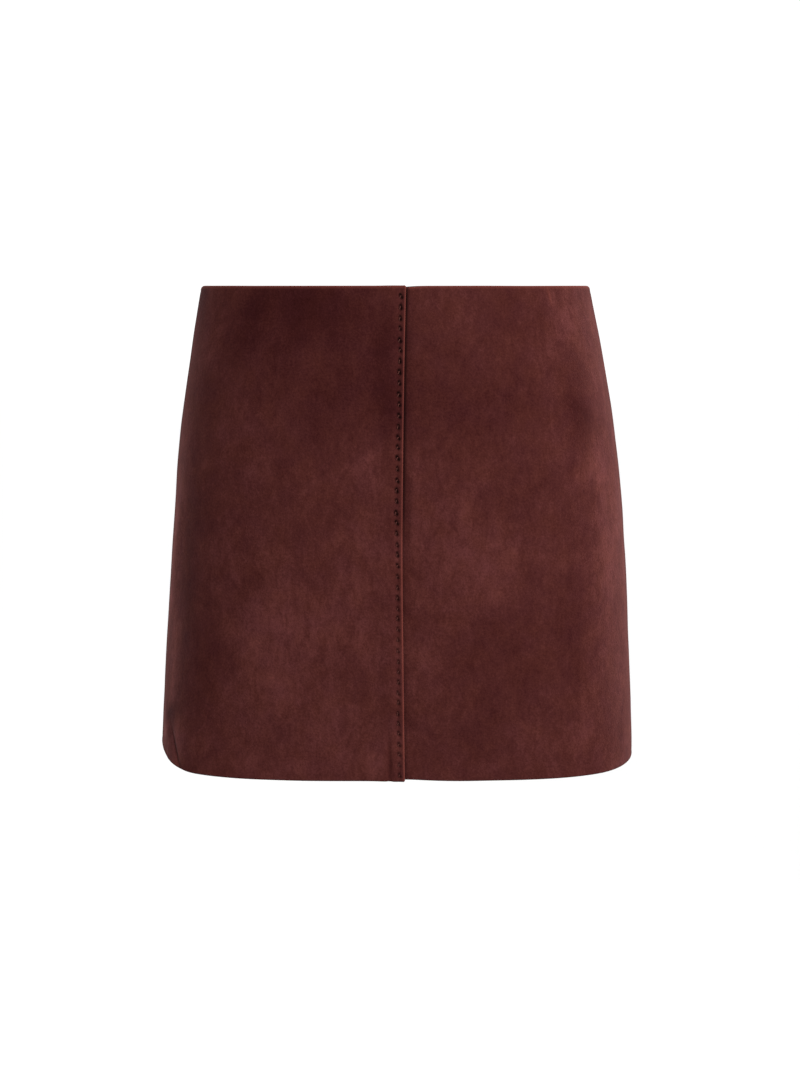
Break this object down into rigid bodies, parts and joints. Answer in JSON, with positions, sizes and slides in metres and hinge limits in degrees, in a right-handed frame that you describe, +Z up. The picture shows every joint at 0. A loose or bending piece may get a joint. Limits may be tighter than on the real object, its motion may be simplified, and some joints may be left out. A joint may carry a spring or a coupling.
{
  "type": "suede mini skirt",
  "caption": "Short A-line skirt in oxblood suede, filled out as worn, with a hand-stitched lapped seam down the front and a concealed zip at the back.",
  "frame": {"origin": "middle of the waist opening, in the plane of the waist edge, where the wearer holds the skirt up", "axes": "+Z up out of the waist; the front with the lapped seam faces -Y; +X is on the viewer's right"},
  "size_m": [0.377, 0.2459, 0.3726],
  "materials": {
    "suede": "brushed suede, matt, with a short uneven nap",
    "thread": "waxed sewing thread, matched to the suede",
    "zip_tape": "woven polyester tape, matt",
    "zip_coil": "nylon coil, satin",
    "zip_metal": "lacquered zinc, semi-gloss, rubbed at the edges"
  },
  "bodies": {
    "skirt": {"front_lap_panel": "suede", "front_under_panel": "suede", "back_left_panel": "suede", "back_right_panel": "suede", "zip_tape_left": "zip_tape", "zip_tape_right": "zip_tape", "zip_coil": "zip_coil", "zip_slider": "zip_metal"},
    "pull_tab": {"zip_pull": "zip_metal"}
  },
  "joints": [
    {"name": "pull_tab_swing", "type": "hinge", "parent": "skirt", "child": "pull_tab", "pos_m": [-0.00126, 0.10399, -0.00855], "axis": [1, 0, 0], "range_deg": [0, 150]}
  ]
}
